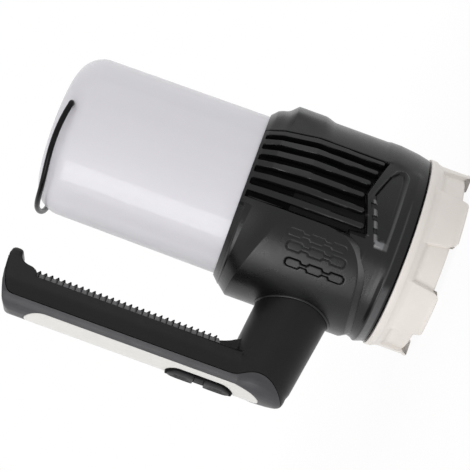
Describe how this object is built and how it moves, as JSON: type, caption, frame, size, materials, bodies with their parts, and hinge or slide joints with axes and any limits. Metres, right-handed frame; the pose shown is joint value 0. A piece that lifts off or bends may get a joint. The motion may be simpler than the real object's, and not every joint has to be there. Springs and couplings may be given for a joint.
{
  "type": "led flashlight",
  "caption": "Handheld searchlight and lantern: ribbed black barrel, castellated lens ring, frosted lantern tail with a wire bail, and a pistol grip with two push buttons.",
  "frame": {"origin": "centre of the bounding box at its bottom, level with the tips of the lens ring's tabs", "axes": "+Z along the lamp's axis from the lens to the lantern tail, -X toward the grip, +Y across, so that X and Z span the symmetry plane"},
  "size_m": [0.1644, 0.1106, 0.22],
  "materials": {
    "black_plastic": "satin",
    "grey_plastic": "satin",
    "cream_plastic": "satin",
    "white_plastic": "satin",
    "frosted_plastic": "frosted",
    "clear_plastic": "polished",
    "black_rubber": "matte",
    "black_wire": "gloss",
    "bright_coat": "polished",
    "bare_aluminium": "machined",
    "plated_steel": "plated",
    "green_board": "satin",
    "white_board": "satin",
    "yellow_phosphor": "satin",
    "cell_sleeve": "satin"
  },
  "bodies": {
    "lamp": {"housing": "black_plastic", "head_ring": "cream_plastic", "front_lens": "clear_plastic", "lens_seal": "black_rubber", "reflector": "bright_coat", "led_board": "white_board", "led_emitter": "yellow_phosphor", "heat_sink": "bare_aluminium", "chassis": "black_plastic", "battery_1": "cell_sleeve", "battery_2": "cell_sleeve", "battery_3": "cell_sleeve", "battery_4": "cell_sleeve", "control_board": "green_board", "charge_port": "plated_steel", "chassis_screw_1": "plated_steel", "chassis_screw_2": "plated_steel", "chassis_screw_3": "plated_steel", "lantern_board": "white_board", "lantern_led_1": "yellow_phosphor", "lantern_led_2": "yellow_phosphor", "lantern_led_3": "yellow_phosphor", "lantern_led_4": "yellow_phosphor", "lantern_led_5": "yellow_phosphor", "lantern_led_6": "yellow_phosphor", "diffuser": "frosted_plastic", "diffuser_seal": "black_rubber", "grip_shell": "black_plastic", "grip_spine": "grey_plastic", "grip_panel": "white_plastic", "grip_screw_front": "plated_steel", "grip_screw_rear": "plated_steel", "finger_pad": "black_rubber", "button_frame": "black_plastic", "switch_board": "green_board", "switch_front": "black_plastic", "switch_rear": "black_plastic", "switch_lead": "black_rubber"},
    "bail_loop": {"bail": "black_wire"},
    "front_button": {"button_front": "black_rubber"},
    "rear_button": {"button_rear": "black_rubber"},
    "port_flap": {"port_cover": "black_rubber"}
  },
  "joints": [
    {"name": "bail_swing", "type": "hinge", "parent": "lamp", "child": "bail_loop", "pos_m": [0.0259, 0, 0.213], "axis": [0, 1, 0], "range_deg": [0, 180]},
    {"name": "front_button_press", "type": "slide", "parent": "lamp", "child": "front_button", "axis": [1, 0, 0], "range_m": [0, 0.0008], "stiffness_N_per_m": 800, "springref_m": -0.0005},
    {"name": "rear_button_press", "type": "slide", "parent": "lamp", "child": "rear_button", "axis": [1, 0, 0], "range_m": [0, 0.0008], "stiffness_N_per_m": 800, "springref_m": -0.0005},
    {"name": "port_cover_swing", "type": "hinge", "parent": "lamp", "child": "port_flap", "pos_m": [0.08083, 0, 0.0955], "axis": [0, -1, 0], "range_deg": [0, 90]}
  ]
}
